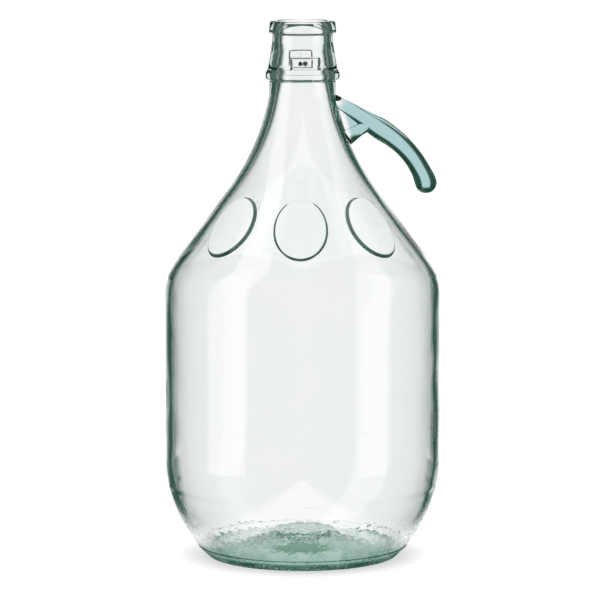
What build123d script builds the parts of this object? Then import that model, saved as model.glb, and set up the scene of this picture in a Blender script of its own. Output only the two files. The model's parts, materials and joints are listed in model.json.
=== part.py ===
from build123d import *
import os
from math import asin, atan2, cos, degrees, radians, sin, sqrt, tan

# A five litre glass demijohn, in millimetres. The origin is on the axis, in the plane it stands on.
# +Z points out of the mouth and +X points along the handle.

# Body, outside
body_radius = 92.0
heel_height = 67.0
shoulder_height = 176.2
shoulder_radius = 39.2
cone_angle = 36.5
sweep_radius = 147.0
neck_radius = 22.1
neck_slope = 9.2

# Foot: a ring of fine ridges, round a push-up that rises to a flat disc
foot_height = 7.3
foot_step = 0.9
foot_taper = 7.7
foot_ring_width = 7.2
ridge_count = 96
ridge_depth = 0.7
push_up = 10.0
disc_radius = 21.0

# Walls
body_wall = 4.3
cone_wall = 3.8
floor_thickness = 7.0
trough_thickness = 5.8

# Collar, throat and mouth ring, stacked above the place where the neck ends its sweep
collar_rise = 8.2
collar_radius = 24.7
collar_height = 7.6
collar_lead_in = 1.2
collar_top_slope = 2.6
flare_radius = 23.2
flare_height = 17.5
throat_radius = 20.25
throat_height = 5.4
lip_radius = 22.5
lip_lead_in = 1.2
lip_top_radius = 21.7
lip_top_round = 2.4
lip_height = 9.0
bore_radius = 16.2
bore_length = 22.0
bore_edge_round = 1.3
neck_bore_radius = 17.3
bore_widening = 8.0

# Medallions raised on the front of the cone, with their gaps measured along its slope
medallion_count = 3
medallion_turn = 45.0
medallion_middle_turn = -90.0
medallion_width = 36.6
medallion_foot_gap = 8.8
medallion_head_gap = 3.0
medallion_widest_share = 0.467
medallion_rise = 1.7
medallion_crown = 0.7
medallion_draft = 45.0

# Seats and pivot holes for a wire bail
seat_width = 19.2
seat_height = 7.4
seat_rise = 0.8
seat_depth = 2.3
seat_turn = 6.0
pivot_mouth_radius = 1.7
pivot_end_radius = 0.7
pivot_depth = 2.0

# Handle, with its heights measured from the place where the neck ends its sweep
arm_root = (20.0, -3.7)
arm_slope = 33.0
arm_straight = 44.0
arm_bend_radius = 63.0
arm_bend = 38.0
arm_half_heights = (3.2, 4.5, 5.6, 7.2, 6.7, 6.3, 6.4, 6.7)
arm_half_depth = 6.8
tip_radius = 7.2
leg_start = (45.0, -20.1)
leg_end = (29.5, -30.1)
leg_shares = (0, 0.6, 1)
leg_half_heights = (5.6, 4.2, 5.4)
leg_half_depths = (6.4, 6.4, 8.0)
web_thickness = 5.0
web_corners = ((21.0, -5.1), (38.0, -19.6), (29.0, -30.1))


def polar(centre, radius, angle):
    """A point at an angle, in degrees from +X, on a circle in the profile plane."""
    return (centre[0] + radius * cos(radians(angle)), centre[1] + radius * sin(radians(angle)))


def arc(centre, radius, start, end):
    """An arc of the profile between two angles in degrees."""
    middle = (start + end) / 2
    return ThreePointArc(*(polar(centre, radius, angle) for angle in (start, middle, end)))


def turned(face):
    """The solid that a face drawn in radius and height makes round the axis."""
    return revolve(Plane.XZ * face, Axis.Z)


def heel_radius_at(level):
    """Radius of the heel, which is part of a sphere as wide as the body, at a height."""
    return sqrt(body_radius**2 - (heel_height - level) ** 2)


# Centres of the outside arcs, and where the straight cone starts and ends
heel_centre = (0, heel_height)
shoulder_centre = (body_radius - shoulder_radius, shoulder_height)
cone_foot = polar(shoulder_centre, shoulder_radius, cone_angle)
sweep_centre_radius = neck_radius + sweep_radius * cos(radians(neck_slope))
cone_head_radius = sweep_centre_radius - sweep_radius * cos(radians(cone_angle))
cone_length = (cone_foot[0] - cone_head_radius) / sin(radians(cone_angle))
cone_head = (cone_head_radius, cone_foot[1] + cone_length * cos(radians(cone_angle)))
sweep_centre = (sweep_centre_radius, cone_head[1] + sweep_radius * sin(radians(cone_angle)))
neck_foot = polar(sweep_centre, sweep_radius, 180 + neck_slope)

# The foot stands a step proud of the heel, and narrows to the ring that touches the ground
foot_top_radius = heel_radius_at(foot_height) + foot_step
foot_radius = foot_top_radius - foot_taper
foot_inner_radius = foot_radius - foot_ring_width

# A medallion fills the cone's slope between its two gaps
medallion_length = cone_length - medallion_foot_gap - medallion_head_gap
medallion_lower_length = medallion_length * medallion_widest_share
medallion_upper_length = medallion_length - medallion_lower_length

# Heights of the finish
collar_low = neck_foot[1] + collar_rise
collar_high = collar_low + collar_height
throat_low = collar_high + flare_height
lip_low = throat_low + throat_height
height = lip_low + lip_height


def finish_points():
    """Corners of the neck, collar, throat and mouth ring, up to the round at the top."""
    return (
        neck_foot,
        (neck_radius, collar_low),
        (collar_radius, collar_low + collar_lead_in),
        (collar_radius, collar_high - collar_top_slope),
        (flare_radius, collar_high),
        (throat_radius, throat_low),
        (throat_radius, lip_low),
        (lip_radius, lip_low + lip_lead_in),
        (lip_top_radius, height - lip_top_round),
    )


def outer_form():
    """The bottle's outside above the foot, as one turned solid with no cavity."""
    heel_start = degrees(atan2(foot_height - heel_height, heel_radius_at(foot_height)))
    top_centre = (lip_top_radius - lip_top_round, height - lip_top_round)
    edges = Curve() + [
        arc(heel_centre, body_radius, heel_start, 0),
        Line((body_radius, heel_height), (body_radius, shoulder_height)),
        arc(shoulder_centre, shoulder_radius, 0, cone_angle),
        Line(cone_foot, cone_head),
        arc(sweep_centre, sweep_radius, 180 + cone_angle, 180 + neck_slope),
        Polyline(*finish_points()),
        arc(top_centre, lip_top_round, 0, 90),
        Line((top_centre[0], height), (0, height)),
        Line((0, height), (0, foot_height)),
        Line((0, foot_height), (heel_radius_at(foot_height), foot_height)),
    ]
    return turned(make_face(edges))


def ridge_outline(crest_radius):
    """The foot seen from above: a ring of ridges, each with its two sides."""
    step = 180 / ridge_count
    radii = (crest_radius, crest_radius - ridge_depth)
    return [polar((0, 0), radii[i % 2], i * step) for i in range(2 * ridge_count)]


def foot():
    """The ridged ring that the bottle stands on, a little proud of the heel above it."""
    outlines = ((foot_radius, 0), (foot_top_radius, foot_height))
    sections = [
        Pos(0, 0, level) * make_face(Polyline(*ridge_outline(crest), close=True))
        for crest, level in outlines
    ]
    return loft(sections, ruled=True)


def punt():
    """What the push-up takes away from under the foot: a cone with a flat top."""
    corners = ((0, push_up), (disc_radius, push_up), (foot_inner_radius, 0), (0, 0))
    return turned(make_face(Polyline(*corners, close=True)))


def cavity():
    """The space inside, which the glass is blown round: floor, body, cone, neck and bore."""
    inner_body = body_radius - body_wall
    inner_shoulder = shoulder_radius - cone_wall
    inner_shoulder_centre = (inner_body - inner_shoulder, shoulder_height)
    cone_start = polar(inner_shoulder_centre, inner_shoulder, cone_angle)
    inner_sweep = sweep_radius + cone_wall
    normal = (cos(radians(cone_angle)), sin(radians(cone_angle)))
    cone_end = (cone_head[0] - cone_wall * normal[0], cone_head[1] - cone_wall * normal[1])
    sweep_height = sqrt(inner_sweep**2 - (sweep_centre[0] - neck_bore_radius) ** 2)
    sweep_end = (neck_bore_radius, sweep_centre[1] - sweep_height)
    end_angle = degrees(atan2(-sweep_height, neck_bore_radius - sweep_centre[0])) + 360
    bore_low = height - bore_length
    edge_centre = (bore_radius + bore_edge_round, height - bore_edge_round)
    above = height + bore_edge_round
    # The floor keeps to the push-up, and meets the heel in a flat trough over the foot
    floor = push_up + floor_thickness
    fall = push_up / (foot_inner_radius - disc_radius)
    trough_inner = disc_radius + (floor - trough_thickness) / fall
    trough_outer = sqrt(inner_body**2 - (heel_height - trough_thickness) ** 2)
    heel_start = degrees(atan2(trough_thickness - heel_height, trough_outer))
    edges = Curve() + [
        Polyline(
            (0, floor),
            (disc_radius, floor),
            (trough_inner, trough_thickness),
            (trough_outer, trough_thickness),
        ),
        arc(heel_centre, inner_body, heel_start, 0),
        Line((inner_body, heel_height), (inner_body, shoulder_height)),
        arc(inner_shoulder_centre, inner_shoulder, 0, cone_angle),
        Line(cone_start, cone_end),
        arc(sweep_centre, inner_sweep, 180 + cone_angle, end_angle),
        Polyline(
            sweep_end,
            (neck_bore_radius, bore_low - bore_widening),
            (bore_radius, bore_low),
            (bore_radius, edge_centre[1]),
        ),
        arc(edge_centre, bore_edge_round, 180, 90),
        Polyline((edge_centre[0], height), (edge_centre[0], above), (0, above), (0, floor)),
    ]
    return turned(make_face(edges))


def egg(half_width, inset):
    """The medallion's outline, rounder at its lower end, drawn inside the full size by an inset."""
    lower = medallion_lower_length - inset
    upper = medallion_upper_length - inset
    outline = Curve() + [
        EllipticalCenterArc((0, 0), half_width - inset, upper, start_angle=0, arc_size=180),
        EllipticalCenterArc((0, 0), half_width - inset, lower, start_angle=180, arc_size=180),
    ]
    return make_face(outline)


def medallion():
    """One medallion on the side that faces +X: an egg with leaning sides and a crowned face."""
    slant = radians(cone_angle)
    outward = (cos(slant), 0, sin(slant))
    along = medallion_foot_gap + medallion_lower_length
    centre = (cone_foot[0] - along * sin(slant), 0, cone_foot[1] + along * cos(slant))
    face_plane = Plane(origin=centre, x_dir=(0, 1, 0), z_dir=outward)
    # The cone curves away from this plane, so the sides reach the glass a little below it
    cone_curve = centre[0] / cos(slant)
    fall = medallion_width**2 / (8 * cone_curve)
    lean = tan(radians(medallion_draft))
    half_width = medallion_width / 2 - fall * lean
    reach = 2 * (medallion_rise + fall)
    levels = (-reach, reach)
    sections = [face_plane.offset(level) * egg(half_width, level * lean) for level in levels]
    return loft(sections, ruled=True) & medallion_face(centre, outward, cone_curve, reach)


def medallion_face(centre, outward, cone_curve, reach):
    """A barrel whose side is the crowned face: it stands the rise above the cone at the rim."""
    top = medallion_rise + medallion_crown
    half_length = medallion_length / 2
    long_curve = half_length**2 / (2 * medallion_crown) + medallion_crown / 2
    rim = medallion_width / 2 - medallion_rise * tan(radians(medallion_draft))
    cross_curve = 1 / (1 / cone_curve + 2 * medallion_crown / rim**2)
    middle = medallion_upper_length - half_length
    sweep = degrees(asin((half_length + reach) / long_curve))
    low, high = middle - half_length - reach, middle + half_length + reach
    axis_depth = top - cross_curve
    edge = arc((top - long_curve, middle), long_curve, -sweep, sweep)
    outline = Curve() + [edge, Polyline(edge @ 1, (axis_depth, high), (axis_depth, low), edge @ 0)]
    plane = Plane(origin=centre, x_dir=outward, z_dir=(0, -1, 0))
    axis = Axis(plane.from_local_coords((axis_depth, 0, 0)), plane.y_dir)
    return revolve(plane * make_face(outline), axis)


def seat_cutters():
    """The two bail seats with their pivot holes, front and back of the neck."""
    middle = collar_high + seat_rise + seat_height / 2
    floor_at = flare_radius - seat_depth
    block = Pos(0, -flare_radius, middle) * Box(seat_width, 2 * throat_radius, seat_height)
    seat = block - Pos(0, 0, middle) * Cylinder(floor_at, 2 * seat_height)
    seat &= Pos(0, -flare_radius, middle) * Box(seat_width, flare_radius, seat_height)
    cone = Rot(90, 0, 0) * Cone(pivot_end_radius, pivot_mouth_radius, pivot_depth)
    pivot = Pos(0, pivot_depth / 2 - floor_at, middle) * cone
    return [Rot(0, 0, seat_turn + turn) * (seat + pivot) for turn in (0, 180)]


def handle_plane(point, direction):
    """The plane of one section of the handle, square to a direction in its plane of symmetry."""
    return Plane(
        origin=(point[0], 0, neck_foot[1] + point[1]),
        x_dir=(0, 1, 0),
        z_dir=(direction[0], 0, direction[1]),
    )


def arm():
    """The finger grip: a straight root, one bend and a round end a little fuller than the arm."""
    root_end = polar(arm_root, arm_straight, -arm_slope)
    bend_centre = polar(root_end, arm_bend_radius, -arm_slope - 90)
    total = arm_straight + arm_bend_radius * radians(arm_bend)
    sections = []
    for i, half_height in enumerate(arm_half_heights):
        run = total * i / (len(arm_half_heights) - 1)
        if run < arm_straight:
            heading = -arm_slope
            point = polar(arm_root, run, heading)
        else:
            turn = degrees((run - arm_straight) / arm_bend_radius)
            heading = -arm_slope - turn
            point = polar(bend_centre, arm_bend_radius, heading + 90)
        plane = handle_plane(point, polar((0, 0), 1, heading))
        sections.append(plane * Ellipse(arm_half_depth, half_height))
    tip = plane.location * Sphere(tip_radius)
    return loft(sections, ruled=True) + tip


def leg():
    """The short lower root that carries the arm on the cone."""
    run = (leg_end[0] - leg_start[0], leg_end[1] - leg_start[1])
    length = sqrt(run[0] ** 2 + run[1] ** 2)
    direction = (run[0] / length, run[1] / length)
    sections = []
    for share, half_height, half_depth in zip(leg_shares, leg_half_heights, leg_half_depths):
        point = (leg_start[0] + run[0] * share, leg_start[1] + run[1] * share)
        sections.append(handle_plane(point, direction) * Ellipse(half_depth, half_height))
    return loft(sections, ruled=True)


def web():
    """The thin sheet of glass that is left between the two roots."""
    outline = make_face(Polyline(*web_corners, close=True))
    sheet = extrude(Plane.XZ * outline, web_thickness / 2, both=True)
    return Pos(0, 0, neck_foot[1]) * sheet


def bottle():
    """The whole bottle as one piece of glass."""
    raised = medallion()
    first_turn = medallion_middle_turn - medallion_turn * (medallion_count - 1) / 2
    turns = [first_turn + i * medallion_turn for i in range(medallion_count)]
    body = outer_form() + [Rot(0, 0, turn) * raised for turn in turns]
    body -= seat_cutters()
    body += [foot(), arm(), leg(), web()]
    return body - punt() - cavity()


glass = bottle()
os.makedirs("parts", exist_ok=True)
export_step(glass, "parts/bottle.step")
inside = cavity() & Pos(0, 0, height / 2) * Cylinder(body_radius, height)
print("height", round(height, 1), "glass litres", round(glass.volume / 1e6, 3))
print("brimful litres", round(inside.volume / 1e6, 3))
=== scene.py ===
# %% [markdown]
# # A pale green glass demijohn
#
# This lesson dresses one blown bottle: a straight body, a cone with three raised medallions, a
# short neck with a collar, and one open finger handle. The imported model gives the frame, and every
# piece made here keeps to it. Glass shows both of its surfaces at once, so the whole lesson is about
# making one smooth closed skin, inside and outside, and then lighting it.

import json
from math import atan2, cos, hypot, pi, radians, sin, sqrt, tan

import bmesh
import bpy
from mathutils import Matrix, Vector


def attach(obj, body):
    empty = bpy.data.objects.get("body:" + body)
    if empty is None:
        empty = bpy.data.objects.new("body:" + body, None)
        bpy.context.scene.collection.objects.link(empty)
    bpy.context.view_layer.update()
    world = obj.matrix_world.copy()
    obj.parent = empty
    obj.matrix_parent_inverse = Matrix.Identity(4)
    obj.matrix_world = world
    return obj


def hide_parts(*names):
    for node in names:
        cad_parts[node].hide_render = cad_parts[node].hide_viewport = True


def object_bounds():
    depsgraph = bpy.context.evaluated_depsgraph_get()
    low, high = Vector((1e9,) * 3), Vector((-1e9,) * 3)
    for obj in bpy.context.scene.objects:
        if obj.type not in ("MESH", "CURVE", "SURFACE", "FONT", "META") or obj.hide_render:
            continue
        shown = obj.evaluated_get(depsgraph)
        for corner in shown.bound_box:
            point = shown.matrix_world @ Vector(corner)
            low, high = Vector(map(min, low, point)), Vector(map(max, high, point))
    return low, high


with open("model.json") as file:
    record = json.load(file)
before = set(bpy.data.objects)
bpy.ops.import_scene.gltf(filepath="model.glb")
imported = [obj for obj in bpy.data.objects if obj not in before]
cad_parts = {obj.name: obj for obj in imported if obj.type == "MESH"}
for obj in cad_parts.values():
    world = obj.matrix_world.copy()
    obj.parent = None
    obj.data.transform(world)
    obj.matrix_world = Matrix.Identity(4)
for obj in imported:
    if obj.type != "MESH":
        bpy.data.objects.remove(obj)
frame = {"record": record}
cad_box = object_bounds()
bore = next(mount for mount in frame["record"]["mounts"] if mount["name"] == "mouth")
print("bottle box in metres", [tuple(round(v, 4) for v in corner) for corner in cad_box])

# %% [markdown]
# The sizes below are the bottle's own, in millimetres. Blender works in metres, so lengths pass
# through one factor on their way into a mesh. The height, the body's radius and the bore come from
# the frame, so the skin can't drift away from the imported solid.

# %% Sizes of the bottle
MM = 0.001
height = cad_box[1][2] / MM
body_radius = -cad_box[0][0] / MM
bore_radius = bore["dims"]["r_mm"]
heel_height = 67.0
shoulder_height = 176.2
shoulder_radius = 39.2
cone_angle = 36.5
sweep_radius = 147.0
neck_radius = 22.1
neck_slope = 9.2
body_wall = 4.3
cone_wall = 3.8
print("height", round(height, 2), "body radius", round(body_radius, 2), "bore", bore_radius)

# %% Sizes of the finish
collar_rise = 8.2
collar_radius = 24.7
collar_height = 7.6
flare_radius = 23.2
flare_height = 17.5
throat_radius = 20.25
throat_height = 5.4
lip_radius = 22.5
lip_top_radius = 21.7
lip_height = 9.0
lip_top_round = 2.4
collar_chamfer_low = 1.2
collar_chamfer_high = 2.6
collar_rounds = (0.8, 1.7, 1.7, 1.2)
lip_rounds = (6.0, 0.8, 1.1, lip_top_round)
lip_chamfer = 1.2
bore_length = 22.0
bore_edge_round = 1.3
neck_bore_radius = 17.3
bore_widening = 8.0
bore_rounds = (14, 14)
print("neck", 2 * neck_radius, "across, bore", 2 * bore_radius)

# %% Sizes of the foot and the floor
foot_radius = 63.2
foot_inner_radius = 56.0
ground_radius = foot_radius - 1.6
foot_height = 7.3
foot_step = 0.9
heel_start = foot_height + 1.2
ridge_count = 96
ridge_depth = 0.7
push_up = 10.0
disc_radius = 21.0
disc_flat_radius = 14.0
disc_round = 14.0
ring_round = 3.5
foot_rounds = (0.9, 0.6, 0.35)
floor_rounds = (6.0, 9.0, 16.0)
floor_thickness = 7.0
trough_thickness = 5.8
trough_start_height = 12.0
print("foot", 2 * foot_radius, "across, with", ridge_count, "ridges")

# %% [markdown]
# A turned form is a line drawn in radius and height, and an arc of it is a formula. A few small
# helpers are enough: they sample an arc or a straight stretch, round the corners of a broken line
# and join stretches end to end. Each stretch gets only as many points as its curve needs, because
# every point becomes a ring of faces.


# %% Lines and arcs of the outline
def polar(centre, radius, angle):
    """A point on a circle of the outline, at an angle in degrees."""
    return (centre[0] + radius * cos(radians(angle)), centre[1] + radius * sin(radians(angle)))


def arc(centre, radius, start, end, count):
    """Points along an arc, both ends included."""
    return [polar(centre, radius, start + (end - start) * i / count) for i in range(count + 1)]


def line(start, end, count):
    """Points along a straight stretch, both ends included."""
    return [
        (start[0] + (end[0] - start[0]) * i / count, start[1] + (end[1] - start[1]) * i / count)
        for i in range(count + 1)
    ]


def rounded(points, radii, steps):
    """A broken line with each inner corner replaced by a tangent arc of its own radius."""
    out = [points[0]]
    for before, corner, after, radius in zip(points, points[1:], points[2:], radii):
        a = Vector(before) - Vector(corner)
        b = Vector(after) - Vector(corner)
        half = a.angle(b) / 2
        cut = min(radius / tan(half), a.length * 0.49, b.length * 0.49)
        start = Vector(corner) + a.normalized() * cut
        end = Vector(corner) + b.normalized() * cut
        centre = Vector(corner) + (a.normalized() + b.normalized()).normalized() * (cut / cos(half))
        reach = (start - centre).length
        for i in range(steps + 1):
            point = start.lerp(end, i / steps)
            out.append(tuple(centre + (point - centre).normalized() * reach))
    return out + [points[-1]]


shared_gap = 0.02


def joined(*stretches):
    """Stretches end to end, with the points that two of them share kept once."""
    out = []
    for stretch in stretches:
        for point in stretch:
            if not out or hypot(point[0] - out[-1][0], point[1] - out[-1][1]) > shared_gap:
                out.append(point)
    return out


# %% [markdown]
# The outside runs from the middle of the push-up, over the ring it stands on, up the heel, the body,
# the shoulder arc, the cone and the long hollow sweep into the neck. Where one stretch ends and the
# next begins is worked out from the arcs' own centres, so that they stay tangent.

# %% Where the arcs of the outside meet
heel_centre = (0.0, heel_height)
shoulder_centre = (body_radius - shoulder_radius, shoulder_height)
cone_foot = polar(shoulder_centre, shoulder_radius, cone_angle)
sweep_middle = neck_radius + sweep_radius * cos(radians(neck_slope))
cone_head_radius = sweep_middle - sweep_radius * cos(radians(cone_angle))
cone_length = (cone_foot[0] - cone_head_radius) / sin(radians(cone_angle))
cone_head = (cone_head_radius, cone_foot[1] + cone_length * cos(radians(cone_angle)))
sweep_centre = (sweep_middle, cone_head[1] + sweep_radius * sin(radians(cone_angle)))
neck_foot = polar(sweep_centre, sweep_radius, 180 + neck_slope)
collar_low = neck_foot[1] + collar_rise
collar_high = collar_low + collar_height
throat_low = collar_high + flare_height
lip_low = throat_low + throat_height
print("cone from", [round(v, 1) for v in cone_foot], "to", [round(v, 1) for v in cone_head])
print("heights of the finish sum to", round(lip_low + lip_height, 2))


# %% The outline outside
def heel_radius_at(level):
    """Radius of the heel at a height."""
    return sqrt(body_radius**2 - (heel_height - level) ** 2)


def heel_angle_at(level):
    """Angle of a point of the heel about the heel's centre, in degrees."""
    return atan2(level - heel_height, heel_radius_at(level)) * 180 / pi


def underside():
    """From the middle of the push-up to the ring that the bottle stands on."""
    corners = [
        (0.0, push_up),
        (disc_radius, push_up),
        (foot_inner_radius, 0.0),
        (ground_radius, 0.0),
    ]
    flat = line((0.0, push_up), (disc_flat_radius, push_up), 4)
    slope = rounded(corners, [disc_round, ring_round], 7)
    return joined(flat, slope[1:])


def foot_side():
    """The ridged band, from the ground to the small step under the heel."""
    top = heel_radius_at(foot_height)
    corners = [
        (ground_radius, 0.0),
        (foot_radius, 0.0),
        (top + foot_step, foot_height),
        (top, foot_height + 0.3),
        (heel_radius_at(heel_start), heel_start),
    ]
    return rounded(corners, foot_rounds, 3)


seat_rows = 40
cone_rows = 24


def finish_side():
    """Neck, collar, throat and mouth ring, as far as the top of the bore."""
    collar = [
        neck_foot,
        (neck_radius, collar_low),
        (collar_radius, collar_low + collar_chamfer_low),
        (collar_radius, collar_high - collar_chamfer_high),
        (flare_radius, collar_high),
        (flare_radius - 0.2, collar_high + 1.0),
    ]
    ring = [
        (throat_radius + 0.4, throat_low - 2.0),
        (throat_radius, throat_low),
        (throat_radius, lip_low),
        (lip_radius, lip_low + lip_chamfer),
        (lip_top_radius, height),
        (lip_top_radius - lip_top_round - 0.3, height),
    ]
    return joined(
        rounded(collar, collar_rounds, 4),
        line(collar[-1], ring[0], seat_rows),
        rounded(ring, lip_rounds, 4),
    )


outside = joined(
    underside(),
    foot_side(),
    arc(heel_centre, body_radius, heel_angle_at(heel_start), 0, 16),
    line((body_radius, heel_height), (body_radius, shoulder_height), 4),
    arc(shoulder_centre, shoulder_radius, 0, cone_angle, 10),
    line(cone_foot, cone_head, cone_rows),
    arc(sweep_centre, sweep_radius, 180 + cone_angle, 180 + neck_slope, 12),
)
print("rings outside below the neck", len(outside))


# %% [markdown]
# The inside isn't a copy of the outside moved inwards. Blown glass is thick where it was slow to
# stretch, so the wall is thicker in the body than in the cone, the floor follows the push-up, and
# a shallow trough runs round it above the foot. This line goes the other way, from the mouth down.

# %% The outline inside
inner_body = body_radius - body_wall
inner_shoulder = shoulder_radius - cone_wall
inner_shoulder_centre = (inner_body - inner_shoulder, shoulder_height)
inner_cone_foot = polar(inner_shoulder_centre, inner_shoulder, cone_angle)
inner_sweep = sweep_radius + cone_wall
inner_cone_head = (
    cone_head[0] - cone_wall * cos(radians(cone_angle)),
    cone_head[1] - cone_wall * sin(radians(cone_angle)),
)
sweep_drop = sqrt(inner_sweep**2 - (sweep_centre[0] - neck_bore_radius) ** 2)
sweep_end_angle = atan2(-sweep_drop, neck_bore_radius - sweep_centre[0]) * 180 / pi + 360
bore_low = height - bore_length


def mouth_inside():
    """From the top of the bore, over its rounded edge, to the end of the inner sweep."""
    edge = (bore_radius + bore_edge_round, height - bore_edge_round)
    corners = [
        (bore_radius, edge[1]),
        (bore_radius, bore_low),
        (neck_bore_radius, bore_low - bore_widening),
        (neck_bore_radius, sweep_centre[1] - sweep_drop),
    ]
    return joined(arc(edge, bore_edge_round, 90, 180, 5), rounded(corners, bore_rounds, 4))


def floor_inside():
    """From the heel down into the trough, and up the cone of the floor to its flat middle."""
    floor = push_up + floor_thickness
    fall = push_up / (foot_inner_radius - disc_radius)
    trough_inner = disc_radius + (floor - trough_thickness) / fall
    trough_outer = sqrt(inner_body**2 - (heel_height - trough_thickness) ** 2)
    start_radius = sqrt(inner_body**2 - (heel_height - trough_start_height) ** 2)
    start = (start_radius, trough_start_height)
    corners = [
        start,
        (trough_outer, trough_thickness),
        (trough_inner, trough_thickness),
        (disc_radius, floor),
        (0.0, floor),
    ]
    return rounded(corners, floor_rounds, 5), start


floor_line, heel_end = floor_inside()
inner_heel_end = atan2(heel_end[1] - heel_height, heel_end[0]) * 180 / pi
inside = joined(
    mouth_inside(),
    arc(sweep_centre, inner_sweep, sweep_end_angle, 180 + cone_angle, 12),
    line(inner_cone_head, inner_cone_foot, 4),
    arc(inner_shoulder_centre, inner_shoulder, cone_angle, 0, 8),
    line((inner_body, shoulder_height), (inner_body, heel_height), 4),
    arc(heel_centre, inner_body, 0, inner_heel_end, 14),
    floor_line,
)
print("rings inside", len(inside))

# %% [markdown]
# A spin turns each line into a skin. The bottle is made of eighths: five plain ones and, at the
# front, three that carry a medallion, and each holds twelve ridges of the foot. So only one of each
# kind is spun. The outside takes 48 steps to the eighth, four to a ridge, and the smoother inside
# half as many. The two open rims at the mouth are joined later by a bridge, which can take
# a different count on each side.

# %% Spin one eighth of each skin
sectors = 8
ridges_per_sector = ridge_count // sectors
sector = 2 * pi / sectors
outer_steps = 4 * ridges_per_sector
inner_steps = 2 * ridges_per_sector


def spun(points, steps):
    """One sector of an outline turned about the axis, centred on +X."""
    mesh = bmesh.new()
    start = Matrix.Rotation(-sector / 2, 3, "Z")
    chain = [mesh.verts.new(start @ Vector((r * MM, 0, z * MM))) for r, z in points]
    edges = [mesh.edges.new(pair) for pair in zip(chain, chain[1:])]
    bmesh.ops.spin(
        mesh,
        geom=chain + edges,
        cent=(0, 0, 0),
        axis=(0, 0, 1),
        dvec=(0, 0, 0),
        angle=sector,
        steps=steps,
        use_merge=False,
    )
    return mesh


outer_line = joined(outside, finish_side())
plain_eighth = spun(outer_line, outer_steps)
marked_eighth = spun(outer_line, outer_steps)
inner_eighth = spun(inside, inner_steps)
print("one eighth outside has", len(plain_eighth.verts), "points, inside", len(inner_eighth.verts))

# %% [markdown]
# Three medallions stand on the front of the cone. Each is an egg, rounder at its lower end, with
# leaning sides and a face that is a little fuller in the middle. The mould makes them with the rest
# of the skin, so the skin is opened there and closed again by rings that follow the egg. A grid of
# straight rows can't follow a curved rim, and in glass every step of it would show.

# %% Sizes of a medallion
medallion_width = 36.6
medallion_foot_gap = 8.8
medallion_head_gap = 3.0
medallion_widest_share = 0.467
medallion_rise = 1.7
medallion_crown = 0.7
medallion_bevel = 2.2
medallion_clearing = 1.4
medallion_border = 0.5
medallion_points = 120
bevel_steps = 7
face_shares = (0.95, 0.86, 0.75, 0.62, 0.48, 0.33, 0.17, 0.05)
slant = radians(cone_angle)
medallion_length = cone_length - medallion_foot_gap - medallion_head_gap
medallion_lower = medallion_length * medallion_widest_share
medallion_upper = medallion_length - medallion_lower
medallion_along = medallion_foot_gap + medallion_lower
print("medallion", medallion_width, "by", round(medallion_length, 1), "mm")


# %% Raise the medallion
def smooth_step(value):
    """Rises from 0 to 1 with no corner at either end."""
    t = min(max(value, 0.0), 1.0)
    return t * t * (3 - 2 * t)


def within_egg(point, margin):
    """Whether a point of the cone lies inside the egg grown by a margin."""
    radius = hypot(point.co.x, point.co.y) / MM
    along = (point.co.z / MM - cone_foot[1]) / cos(slant) - medallion_along
    across = radius * atan2(point.co.y, point.co.x)
    tall = medallion_upper if along > 0 else medallion_lower
    return hypot(across / (medallion_width / 2 + margin), along / (tall + margin)) < 1


def medallion_ring(mesh, gap, share, lift):
    """A ring a gap inside the egg's outline, drawn to a share of its size, above the cone."""
    points = []
    for i in range(medallion_points):
        angle = 2 * pi * i / medallion_points
        tall = medallion_upper if sin(angle) > 0 else medallion_lower
        across = (medallion_width / 2 - gap) * share * cos(angle)
        run = medallion_along + (tall - gap) * share * sin(angle)
        radius = cone_foot[0] - run * sin(slant)
        level = cone_foot[1] + run * cos(slant) + lift * sin(slant)
        turn = across / radius
        out = radius + lift * cos(slant)
        points.append(mesh.verts.new(Vector((out * cos(turn), out * sin(turn), level)) * MM))
    return [mesh.edges.new(pair) for pair in zip(points, points[1:] + points[:1])]


def raise_medallion(mesh):
    """Open the skin where the medallion stands, and close it with rings up to its middle."""
    hidden = [point for point in mesh.verts if within_egg(point, medallion_clearing)]
    bmesh.ops.delete(mesh, geom=hidden, context="VERTS")
    opening = [
        edge
        for edge in mesh.edges
        if edge.is_boundary and all(within_egg(point, 4.0) for point in edge.verts)
    ]
    loops = [opening, medallion_ring(mesh, -medallion_border, 1, 0)]
    for i in range(bevel_steps + 1):
        gap = medallion_bevel * i / bevel_steps
        loops.append(medallion_ring(mesh, gap, 1, medallion_rise * smooth_step(i / bevel_steps)))
    for share in face_shares:
        lift = medallion_rise + medallion_crown * (1 - share**2)
        loops.append(medallion_ring(mesh, medallion_bevel, share, lift))
    for first, second in zip(loops, loops[1:]):
        bmesh.ops.bridge_loops(mesh, edges=first + second)
    bmesh.ops.contextual_create(mesh, geom=loops[-1])
    return len(loops)


print("rings of one medallion", raise_medallion(marked_eighth))

# %% [markdown]
# Under the heel the mould left a band of fine upright ridges, which keeps the bottle from sliding
# and hides the marks it gets from standing. Each ridge is four steps of the spin wide: crest,
# flank, valley, flank. A cosine round the axis, faded out above and below the band, makes them.


# %% Raise the ridges of the foot
ridge_band_depth = 2.5
ridge_band_top = foot_height + 0.2


def raise_ridges(mesh):
    """Sink the skin between the ridges, in the band beside the ground."""
    moved = 0
    for point in mesh.verts:
        radius = hypot(point.co.x, point.co.y) / MM
        level = point.co.z / MM
        if radius < foot_radius - ridge_band_depth or level > ridge_band_top:
            continue
        turn = atan2(point.co.y, point.co.x)
        wave = (1 - cos(turn * ridge_count)) / 2
        fade = smooth_step((radius - foot_radius + ridge_band_depth) / 2)
        fade *= smooth_step((ridge_band_top - level) / 1.6)
        sunk = 1 - ridge_depth * wave * fade / radius
        point.co.x *= sunk
        point.co.y *= sunk
        moved += 1
    return moved


for eighth in (plain_eighth, marked_eighth):
    print("points moved for", ridges_per_sector, "ridges", raise_ridges(eighth))

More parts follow.
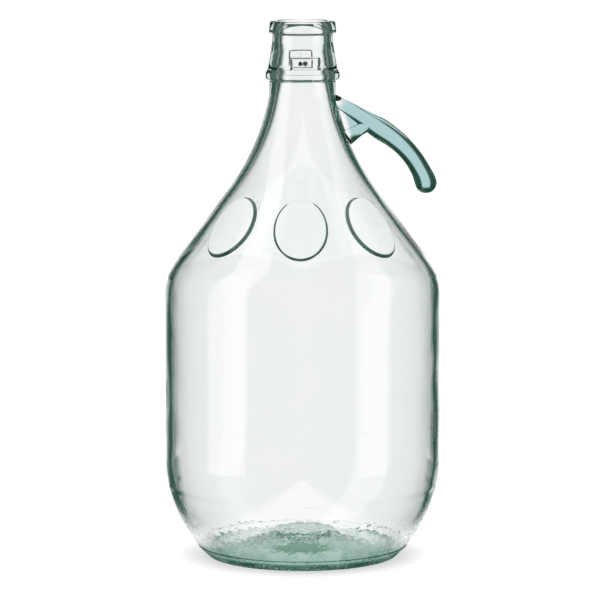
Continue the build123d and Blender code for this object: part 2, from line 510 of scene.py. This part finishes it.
# %% [markdown]
# Eight copies of the eighth, each turned by 45 degrees, are merged along their seams into one skin.
# The points on the axis fall together there too, and close the poles. The mouth is then bridged, and
# the normals are worked out once for the whole closed skin.


# %% Join the eighths into one skin
def into_mesh(source, name):
    """Store a bmesh as a Blender mesh and free it."""
    data = bpy.data.meshes.new(name)
    source.to_mesh(data)
    source.free()
    return data


seam_gap = 0.004 * MM


def full_turn(eighths):
    """Eight sectors, each turned to its own place, merged along their seams."""
    whole = bmesh.new()
    for i, eighth in enumerate(eighths):
        before = len(whole.verts)
        whole.from_mesh(eighth)
        whole.verts.ensure_lookup_table()
        turn = Matrix.Rotation(i * sector, 3, "Z")
        bmesh.ops.rotate(whole, verts=whole.verts[before:], cent=(0, 0, 0), matrix=turn)
    bmesh.ops.remove_doubles(whole, verts=whole.verts, dist=seam_gap)
    return whole


plain_eighth = into_mesh(plain_eighth, "plain_eighth")
marked_eighth = into_mesh(marked_eighth, "marked_eighth")
inner_eighth = into_mesh(inner_eighth, "inner_eighth")
marked_places = (5, 6, 7)
places = [marked_eighth if i in marked_places else plain_eighth for i in range(sectors)]
skin = full_turn(places)
inner_data = into_mesh(full_turn([inner_eighth] * sectors), "inner_skin")
skin.from_mesh(inner_data)
rims = [edge for edge in skin.edges if edge.is_boundary]
bmesh.ops.bridge_loops(skin, edges=rims)
bmesh.ops.recalc_face_normals(skin, faces=skin.faces)
open_edges = sum(edge.is_boundary for edge in skin.edges)
print("skin has", len(skin.verts), "points and", open_edges, "open edges")


# %% [markdown]
# A wire bail would clip into two flat seats, front and back, just over the collar. The photograph
# shows them empty, turned a few degrees from square to the handle. Each is a shallow pocket with
# a small pivot hole in its middle, so the skin there is drawn in to one radius, and inside the hole
# to a shallow cone.

# %% Sink the bail seats
seat_width = 19.2
seat_height = 7.4
seat_rise = 0.8
seat_depth = 2.3
seat_turn = 6.0
seat_margin = 0.3
seat_edge = 0.8
seat_middle = collar_high + seat_rise + seat_height / 2
seat_floor_radius = flare_radius - seat_depth
pivot_radius = 1.7
pivot_depth = 1.15


def sink_seats(mesh):
    """Draw the outside in to the floor of each seat, and further in its pivot hole."""
    moved = 0
    for point in mesh.verts:
        radius = hypot(point.co.x, point.co.y) / MM
        up = point.co.z / MM - seat_middle
        if radius < seat_floor_radius or abs(up) > seat_height / 2 + 2 * seat_margin:
            continue
        turn = atan2(point.co.y, point.co.x) - radians(seat_turn + 90)
        turn -= round(turn / pi) * pi
        across = radius * sin(turn)
        inside_side = smooth_step((seat_width / 2 + seat_margin - abs(across)) / seat_edge)
        inside_edge = smooth_step((seat_height / 2 + seat_margin - abs(up)) / seat_edge)
        hole = max(0.0, 1 - hypot(across, up) / pivot_radius) * pivot_depth
        target = seat_floor_radius - hole
        new_radius = radius + (target - radius) * inside_side * inside_edge
        scale = new_radius / radius
        point.co.x *= scale
        point.co.y *= scale
        moved += scale < 0.999
    return moved


print("points moved for the two seats", sink_seats(skin))

# %% [markdown]
# The handle grew out of the cone in the same mould: an arm that springs from the neck, bends once
# and ends in a round knob, a short leg that carries it lower down, and a thin web of glass between
# them. The arm and the leg are tubes of ellipses that change as they go. A ring is a circle that is
# squashed and placed, and each ring is bridged to the one before it. The web is a flat extrusion.

# %% Rings and tubes for the handle
ring_points = 40


def ring(mesh, centre, heading, half_height, half_depth):
    """An ellipse of points square to a heading in the handle's plane, with its edges."""
    angle = radians(heading)
    along = Vector((cos(angle), 0, sin(angle)))
    up = Vector((-sin(angle), 0, cos(angle)))
    side = Vector((0, 1, 0))
    axes = Matrix((side * half_depth * MM, up * half_height * MM, along)).transposed().to_4x4()
    place = Matrix.Translation(Vector((centre[0], 0, centre[1])) * MM) @ axes
    made = bmesh.ops.create_circle(mesh, segments=ring_points, radius=1.0, matrix=place)
    return list({edge for point in made["verts"] for edge in point.link_edges})


def tube(name, rings):
    """A closed tube through a list of rings, each a centre, a heading and two half sizes."""
    mesh = bmesh.new()
    loops = [ring(mesh, *values) for values in rings]
    for first, second in zip(loops, loops[1:]):
        bmesh.ops.bridge_loops(mesh, edges=first + second)
    bmesh.ops.holes_fill(mesh, edges=[edge for edge in mesh.edges if edge.is_boundary])
    bmesh.ops.recalc_face_normals(mesh, faces=mesh.faces)
    print(name, "has", len(mesh.faces), "faces in", len(rings), "rings")
    return into_mesh(mesh, name)


def between(values, share):
    """A smooth value at a share of the way through a few values that are evenly spaced."""
    spot = min(share * (len(values) - 1), len(values) - 1.000001)
    i = int(spot)
    t = spot - i
    a, b = values[i], values[i + 1]
    before = values[max(i - 1, 0)]
    after = values[min(i + 2, len(values) - 1)]
    bend = 2 * before - 5 * a + 4 * b - after
    twist = 3 * (a - b) + after - before
    return a + 0.5 * t * (b - before + t * (bend + t * twist))


# %% The arm, the leg and the web
arm_root = (20.0, -3.7)
arm_slope = 33.0
arm_straight = 44.0
arm_bend_radius = 63.0
arm_bend = 38.0
arm_half_heights = (3.2, 4.5, 5.6, 7.2, 6.7, 6.3, 6.4, 6.9)
arm_half_depth = 6.8
arm_steps = 36
tip_radius = 7.2
tip_swell = 9.0
tip_steps = 9
leg_start = (45.0, -20.1)
leg_end = (29.5, -30.1)
leg_half_heights = (5.6, 4.6, 4.2, 4.8, 5.4)
leg_half_depths = (6.4, 6.4, 6.4, 7.0, 8.0)
leg_steps = 12
web_thickness = 5.0
web_corners = ((21.0, -5.1), (38.0, -19.6), (29.0, -30.1))


def above_neck(point):
    """A handle point, given from the end of the sweep, in the bottle's own heights."""
    return (point[0], point[1] + neck_foot[1])


def arm_rings():
    """Rings of the arm, with a round knob at its end."""
    root_end = polar(arm_root, arm_straight, -arm_slope)
    bend_centre = polar(root_end, arm_bend_radius, -arm_slope - 90)
    total = arm_straight + arm_bend_radius * radians(arm_bend)
    out = []
    for i in range(arm_steps + 1):
        run = total * i / arm_steps
        heading = -arm_slope
        point = polar(arm_root, run, heading)
        if run > arm_straight:
            heading -= (run - arm_straight) / arm_bend_radius * 180 / pi
            point = polar(bend_centre, arm_bend_radius, heading + 90)
        swell = smooth_step((run - total + tip_swell) / tip_swell)
        half_height = between(arm_half_heights, i / arm_steps)
        half_height += (tip_radius - half_height) * swell
        half_depth = arm_half_depth + (tip_radius - arm_half_depth) * swell
        out.append((above_neck(point), heading, half_height, half_depth))
    for i in range(1, tip_steps + 1):
        turn = 90 * i / tip_steps - 2
        centre = above_neck(polar(point, tip_radius * sin(radians(turn)), heading))
        size = tip_radius * cos(radians(turn))
        out.append((centre, heading, size, size))
    return out


def leg_rings():
    """Rings of the leg, from inside the arm to inside the cone's wall."""
    run = (leg_end[0] - leg_start[0], leg_end[1] - leg_start[1])
    heading = atan2(run[1], run[0]) * 180 / pi
    out = []
    for i in range(leg_steps + 1):
        share = i / leg_steps
        point = (leg_start[0] + run[0] * share, leg_start[1] + run[1] * share)
        sizes = (between(leg_half_heights, share), between(leg_half_depths, share))
        out.append((above_neck(point), heading, *sizes))
    return out


def web_mesh():
    """A flat three-cornered sheet, extruded to its thickness."""
    mesh = bmesh.new()
    side = -web_thickness / 2
    corners = [above_neck(corner) for corner in web_corners]
    points = [mesh.verts.new(Vector((x, side, z)) * MM) for x, z in corners]
    face = mesh.faces.new(points)
    made = bmesh.ops.extrude_face_region(mesh, geom=[face])["geom"]
    far = [item for item in made if isinstance(item, bmesh.types.BMVert)]
    bmesh.ops.translate(mesh, verts=far, vec=(0, web_thickness * MM, 0))
    bmesh.ops.recalc_face_normals(mesh, faces=mesh.faces)
    return into_mesh(mesh, "web")


handle_parts = [tube("arm", arm_rings()), tube("leg", leg_rings()), web_mesh()]

# %% [markdown]
# Glass must be one closed skin. Where two closed pieces overlap, light would cross walls that aren't
# there. So the parts of the handle are joined to the bottle with a Boolean modifier set to union,
# which removes what lies inside, and the result is stored as a plain mesh.


# %% Unite the handle with the skin
def place_object(data, name):
    """An object for a mesh, in the scene, at the origin."""
    thing = bpy.data.objects.new(name, data)
    bpy.context.scene.collection.objects.link(thing)
    return thing


def unite(base, data):
    """Replace a base object's mesh by its union with another closed mesh."""
    other = place_object(data, "joining")
    union = base.modifiers.new("union", "BOOLEAN")
    union.operation = "UNION"
    union.solver = "EXACT"
    union.object = other
    bpy.context.view_layer.update()
    graph = bpy.context.evaluated_depsgraph_get()
    result = bpy.data.meshes.new_from_object(base.evaluated_get(graph))
    base.modifiers.clear()
    base.data = result
    bpy.data.objects.remove(other)


glass = place_object(handle_parts[0], "demijohn_glass")
for part in handle_parts[1:] + [into_mesh(skin, "skin")]:
    unite(glass, part)
glass.data.name = "demijohn_glass"
print("glass has", len(glass.data.vertices), "points and", len(glass.data.polygons), "faces")


# %% [markdown]
# Light follows the shading normals, so a smooth skin must be shaded smooth, and only the true
# corners, such as the rims of the seats and the roots of the handle, stay sharp. The pivot holes are
# hardly larger than the faces that carry them, so they are shaded smooth all over.

# %% Shade smooth, with true corners kept
sharpest_turn = 42
weld_gap = 0.002 * MM
outer_skin_radius = neck_bore_radius + 1


def in_pivot(point):
    """Whether a point lies on the floor of a seat, at the height of its pivot hole."""
    radius = hypot(point.co.x, point.co.y) / MM
    deep = outer_skin_radius < radius < seat_floor_radius + 0.01
    return deep and abs(point.co.z / MM - seat_middle) < pivot_radius + 0.4


def shade(data):
    """Smooth faces, with edges that turn by more than an angle left sharp."""
    mesh = bmesh.new()
    mesh.from_mesh(data)
    bmesh.ops.remove_doubles(mesh, verts=mesh.verts, dist=weld_gap)
    for face in mesh.faces:
        face.smooth = True
    sharp = 0
    for edge in mesh.edges:
        gentle = edge.calc_face_angle(0.0) < radians(sharpest_turn)
        edge.smooth = gentle or all(map(in_pivot, edge.verts))
        sharp += not edge.smooth
    open_edges = sum(edge.is_boundary for edge in mesh.edges)
    mesh.to_mesh(data)
    mesh.free()
    print("sharp edges", sharp, "open edges", open_edges)


shade(glass.data)

# %% [markdown]
# Shader maths reads best as plain expressions. The class below wraps one output of a node, so that
# adding or multiplying two of them adds the Math node that does it. Every other node comes from one
# method that takes the node's type, its settings and the values or links of its sockets. A mask is
# a smooth rise between two values, so most of the numbers further down come in pairs.


# %% A small language for shader maths
class Wire:
    """One output socket, with arithmetic that grows the node tree."""

    def __init__(self, maker, socket):
        self.maker = maker
        self.socket = socket

    def math(self, operation, *others):
        """A Math node on this value and the others."""
        return self.maker.node("ShaderNodeMath", {"operation": operation}, [self, *others])

    def __add__(self, other):
        return self.math("ADD", other)

    def __sub__(self, other):
        return self.math("SUBTRACT", other)

    def __mul__(self, other):
        return self.math("MULTIPLY", other)

    def __pow__(self, other):
        return self.math("POWER", other)

    def __rsub__(self, other):
        return self.maker.node("ShaderNodeMath", {"operation": "SUBTRACT"}, [other, self])

    __radd__ = __add__
    __rmul__ = __mul__

    def ramp(self, low, high):
        """A smooth rise from 0 at one value to 1 at another."""
        settings = {"interpolation_type": "SMOOTHSTEP"}
        return self.maker.node("ShaderNodeMapRange", settings, {0: self, 1: low, 2: high})


class Maker:
    """Adds nodes to one tree and links them."""

    def __init__(self, tree):
        self.tree = tree
        tree.nodes.clear()

    def node(self, kind, settings=None, sockets=None, out=0):
        """A node of a type, with its settings, then the values or links of its sockets."""
        made = self.tree.nodes.new(kind)
        for name, value in (settings or {}).items():
            setattr(made, name, value)
        pairs = sockets.items() if isinstance(sockets, dict) else enumerate(sockets or [])
        for key, value in pairs:
            if isinstance(value, Wire):
                self.tree.links.new(value.socket, made.inputs[key])
            else:
                made.inputs[key].default_value = value
        return Wire(self, made.outputs[out]) if len(made.outputs) else made

    def axes(self, vector):
        """The three parts of a vector."""
        split = self.node("ShaderNodeSeparateXYZ", None, [vector])
        return [Wire(self, output) for output in split.socket.node.outputs]

    def mix_colour(self, factor, first, second):
        """A blend of two colours."""
        settings = {"data_type": "RGBA"}
        return self.node("ShaderNodeMix", settings, {0: factor, 6: first, 7: second}, 2)


# %% [markdown]
# Bottle glass looks clear through one wall and green along it. That comes from absorption: the deeper
# light travels, the more red it loses, so the colour is set as a volume, per metre of glass, and
# the surface itself stays white. The handle has a tint of its own, which looks bluer than the wall,
# and the pivot holes carry painted shade, near black. The outside of the body is fire polished.
# The inside was only ever touched by air, so it keeps slow waves and, on the floor, small dimples.
# They are far smaller than the mesh could carry, so they are a bump. The distance from the axis
# keeps it off the outside of the body. On the cone and the neck it reaches both sides.

# %% Sizes and colours of the glass
wave_scale = 28.0
wave_height = 0.0006
low_wave_height = 0.0004
dimple_scale = 260.0
dimple_height = 0.00025
floor_zone = (0.02, 0.05)
heel_zone = (0.045, 0.075)
wall_zone = ((inner_body + 1.8) * MM, (inner_body + 2.8) * MM)
handle_zone = ((sweep_radius - 4.5) * MM, (sweep_radius - 1.5) * MM)
handle_top_zone = (0.311, 0.313)
outer_skin_zone = (outer_skin_radius * MM, (outer_skin_radius + 0.5) * MM)
# Size of the painted shade in the pivot holes.
pivot_shade_zone = (0.0013, 0.0019)
clear = (1.0, 1.0, 1.0, 1.0)
faint_green = (0.985, 0.995, 0.992, 1.0)
handle_tint = (0.46, 0.66, 0.66, 1.0)
# Painted shade in the pivot holes, near black.
pivot_painted_shade = (0.010, 0.016, 0.014, 1.0)
depth_colour = {"Color": (0.30, 0.78, 0.66, 1.0), "Density": 9.0}
print("glass absorbs with a density of", depth_colour["Density"])


# %% The glass
def glass_material():
    """Clear pale green bottle glass with a wavy inside, and painted shade in the pivot holes."""
    material = bpy.data.materials.new("pale_green_glass")
    material.use_nodes = True
    make = Maker(material.node_tree)
    place = make.node("ShaderNodeTexCoord", None, None, 3)
    x, y, z = make.axes(place)
    radius = (x * x + y * y) ** 0.5
    wave_settings = {"Vector": place, "Scale": wave_scale, "Detail": 1.0}
    waves = make.node("ShaderNodeTexNoise", None, wave_settings)
    dimple_settings = {"Vector": place, "Scale": dimple_scale, "Detail": 1.0}
    dimples = make.node("ShaderNodeTexNoise", None, dimple_settings)
    on_floor = 1 - z.ramp(*floor_zone)
    on_heel = 1 - z.ramp(*heel_zone)
    relief = waves * wave_height + dimples * (on_floor * dimple_height)
    relief = relief + waves * (on_heel * low_wave_height)
    within = 1 - radius.ramp(*wall_zone)
    bump_settings = {"Strength": 0.5, "Distance": 1.0, "Height": relief * within}
    bump = make.node("ShaderNodeBump", None, bump_settings)
    tint_and_hole_shade = make.mix_colour(waves, clear, faint_green)
    from_sweep = ((radius - sweep_centre[0] * MM) ** 2 + (z - sweep_centre[1] * MM) ** 2) ** 0.5
    on_handle = (1 - from_sweep.ramp(*handle_zone)) * (1 - z.ramp(*handle_top_zone))
    tint_and_hole_shade = make.mix_colour(on_handle, tint_and_hole_shade, handle_tint)
    level = z - seat_middle * MM
    across = x * cos(radians(seat_turn)) + y * sin(radians(seat_turn))
    from_pivot = (across * across + level * level) ** 0.5
    # Painted shade: the outside of both pivot holes is painted near black.
    hole_shade_mask = (1 - from_pivot.ramp(*pivot_shade_zone)) * radius.ramp(*outer_skin_zone)
    tint_and_hole_shade = make.mix_colour(hole_shade_mask, tint_and_hole_shade, pivot_painted_shade)
    sockets = {
        "Base Color": tint_and_hole_shade,
        "Roughness": 0.0,
        "IOR": 1.52,
        "Transmission Weight": 1.0,
        "Normal": bump,
    }
    surface = make.node("ShaderNodeBsdfPrincipled", None, sockets)
    volume = make.node("ShaderNodeVolumeAbsorption", None, depth_colour)
    make.node("ShaderNodeOutputMaterial", None, {"Surface": surface, "Volume": volume})
    return material


glass.data.materials.clear()
glass.data.materials.append(glass_material())
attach(glass, "root")
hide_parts("bottle")
print("glass rides on root and stands for the packed bottle")

# %% [markdown]
# The bottle stands on a small white disc that glows as brightly as the backdrop, so the whole ground
# of the picture is one even white and the bottle leaves only a faint shadow. Rays that the glass has
# bent see the disc in other colours: right under the foot a mottled green of painted shade, darker in
# the middle and towards the foot's ring, that stands for the shadow under the bottle and the green of
# its thick base, and round it the white sheet and the dark room that the studio below is made of. The
# Light Path node tells the two kinds of ray apart.

# %% Sizes and colours of the floor
floor_radius = 0.4
floor_drop = 0.0002
shadow_zone = (0.056, 0.092)
# Where the painted shade under the foot lies, as seen through the glass.
foot_shade_zone = (0.066, 0.085)
ring_shade_zone = (0.046, 0.060)
middle_shade_zone = (0.014, 0.026)
room_zone = (0.078, 0.115)
swirl_zone = (0.45, 0.62)
shadow_depth = 0.45
# How dark the painted shade under the foot gets in the middle, in its mottling and towards the ring.
middle_shade_share = 0.85
swirl_share = 0.45
ring_shade_share = 0.65
swirl_scale = 55.0
swirl_bend = 1.5
paper_tones = ((0.86, 0.86, 0.87, 1.0), (0.88, 0.88, 0.89, 1.0))
white = (1.0, 1.0, 1.0, 1.0)
white_strength = 1.05
room_colour = (0.030, 0.085, 0.058, 1.0)
sheet_colour = (1.075, 1.035, 1.065, 1.0)
# Painted shade under the foot, seen through the glass: a green and a darker green.
foot_shade_green = (0.52, 0.70, 0.62, 1.0)
foot_deep_shade_green = (0.10, 0.27, 0.19, 1.0)
print("floor", floor_radius, "m in radius")


# %% Floor
def floor_object():
    """A wide flat disc just under the foot."""
    mesh = bmesh.new()
    place = Matrix.Translation((0, 0, -floor_drop))
    bmesh.ops.create_circle(mesh, cap_ends=True, segments=96, radius=floor_radius, matrix=place)
    return place_object(into_mesh(mesh, "floor"), "floor")


def floor_material():
    """White paper fading into its own glow; behind glass, green painted shade under the foot, a dark
    room.
    """
    material = bpy.data.materials.new("white_floor")
    material.use_nodes = True
    make = Maker(material.node_tree)
    place = make.node("ShaderNodeTexCoord", None, None, 3)
    x, y, z = make.axes(place)
    radius = (x * x + y * y) ** 0.5
    grain = make.node("ShaderNodeTexNoise", None, {"Scale": 40.0})
    tone = make.mix_colour(grain, *paper_tones)
    paper = make.node("ShaderNodeBsdfDiffuse", None, {"Color": tone})
    glow = make.node("ShaderNodeEmission", None, {"Color": white, "Strength": white_strength})
    fade = radius.ramp(*shadow_zone) * shadow_depth + (1 - shadow_depth)
    ground = make.node("ShaderNodeMixShader", None, [fade, paper, glow])
    beside = (x.math("ABSOLUTE") - y * 0.2).ramp(*room_zone)
    behind = make.mix_colour(beside, sheet_colour, room_colour)
    swirl_settings = {"Vector": place, "Scale": swirl_scale, "Distortion": swirl_bend}
    swirl = make.node("ShaderNodeTexNoise", None, swirl_settings)
    # Painted shade under the foot, for rays through the glass: darker in the middle and towards the
    # ring.
    deep = (1 - radius.ramp(*middle_shade_zone)) * middle_shade_share + swirl.ramp(*swirl_zone) * swirl_share
    deep = deep + radius.ramp(*ring_shade_zone) * ring_shade_share
    base = make.mix_colour(deep, foot_shade_green, foot_deep_shade_green)
    under = make.mix_colour(radius.ramp(*foot_shade_zone), base, behind)
    through = make.node("ShaderNodeEmission", None, {"Color": under, "Strength": 1.0})
    from_camera = make.node("ShaderNodeLightPath")
    shown = make.node("ShaderNodeMixShader", None, [from_camera, through, ground])
    make.node("ShaderNodeOutputMaterial", None, {"Surface": shown})
    return material


floor = floor_object()
floor.data.materials.append(floor_material())
print("floor has", len(floor.data.vertices), "points")

# %% [markdown]
# Clear glass shows nothing but its surroundings, so the sky is drawn as a small studio, by the
# direction of each ray. Behind the bottle hangs a lit white sheet that fills only a narrow angle:
# the walls near the outline bend light by more than that, so they pick up the dark green room and
# the bottle gets its drawn edges. A soft window on each side of the camera gives the long white
# reflections, and the camera itself sees plain white round the bottle. The sheet hangs where the
# photograph needs it. From behind or from the side the bottle stands against the dark room instead,
# and looks darker than it does here.

# %% Places in the studio
sheet_side = (2.79, 2.94)
sheet_top = (0.16, 0.34)
left_window = (-1.50, -0.84)
left_strength = 0.95
right_window = (0.97, 1.42)
right_lean = 0.5
right_strength = 0.6
window_heights = (-0.35, 0.96)
window_edge = 0.04
far_glow = (1.6, 2.2)
far_edge = 0.25
far_strength = 0.10
print("sheet starts", round(180 - sheet_side[1] * 180 / pi), "degrees either side of straight behind")


# %% Studio sky
def band(value, low, high, soft):
    """1 where a value lies between two others, with soft ends."""
    return value.ramp(low - soft, low + soft) * (1 - value.ramp(high - soft, high + soft))


def studio():
    """A lit sheet behind the bottle, two windows beside the camera and a dark green room."""
    world = bpy.data.worlds.new("studio")
    bpy.context.scene.world = world
    world.use_nodes = True
    make = Maker(world.node_tree)
    x, y, z = make.axes(make.node("ShaderNodeTexCoord", None, None, 0))
    turn = x.math("ARCTAN2", y * -1.0)
    side = turn.math("ABSOLUTE")
    sheet = side.ramp(*sheet_side) * (1 - z.ramp(*sheet_top))
    left = band(turn, *left_window, window_edge) * left_strength
    right = band(turn - z * right_lean, *right_window, window_edge) * right_strength
    windows = (left + right) * band(z, *window_heights, window_edge)
    lit = sheet.math("MAXIMUM", windows + band(side, *far_glow, far_edge) * far_strength)
    settings = {"data_type": "RGBA", "clamp_factor": False}
    colour = make.node("ShaderNodeMix", settings, {0: lit, 6: room_colour, 7: sheet_colour}, 2)
    room = make.node("ShaderNodeBackground", None, {"Color": colour, "Strength": 1.0})
    plain = make.node("ShaderNodeBackground", None, {"Color": white, "Strength": white_strength})
    from_camera = make.node("ShaderNodeLightPath")
    shown = make.node("ShaderNodeMixShader", None, [from_camera, room, plain])
    make.node("ShaderNodeOutputWorld", None, {"Surface": shown})


studio()
scene = bpy.context.scene
scene.view_settings.view_transform = "Standard"
scene.cycles.max_bounces = 24
scene.cycles.transmission_bounces = 24
scene.cycles.glossy_bounces = 12
scene.cycles.caustics_reflective = True
scene.cycles.caustics_refractive = True
print("studio sky set")

# %% [markdown]
# The camera stands where the photograph was taken from: two and a half metres away, a little above
# the bottle's mouth, looking down by seven degrees through a long lens. A long lens far away keeps
# the two sides of the body parallel, as they are in the picture.

# %% Camera
camera_distance = 2.490
camera_height = 0.4842
camera_pitch = 7.145
camera_azimuth = 1.1
lens_pixels = 3750
axis_column = 302.6
picture = 600
sensor = 36.0

camera_data = bpy.data.cameras.new("camera")
camera = bpy.data.objects.new("camera", camera_data)
scene.collection.objects.link(camera)
scene.camera = camera
camera_data.sensor_width = sensor
camera_data.lens = lens_pixels * sensor / picture
camera_data.shift_x = (picture / 2 - axis_column) / picture
camera_data.clip_end = 50
turn = radians(camera_azimuth)
camera.location = (camera_distance * sin(turn), -camera_distance * cos(turn), camera_height)
camera.rotation_euler = (radians(90 - camera_pitch), 0, turn)
print("lens", camera_data.lens, "mm")
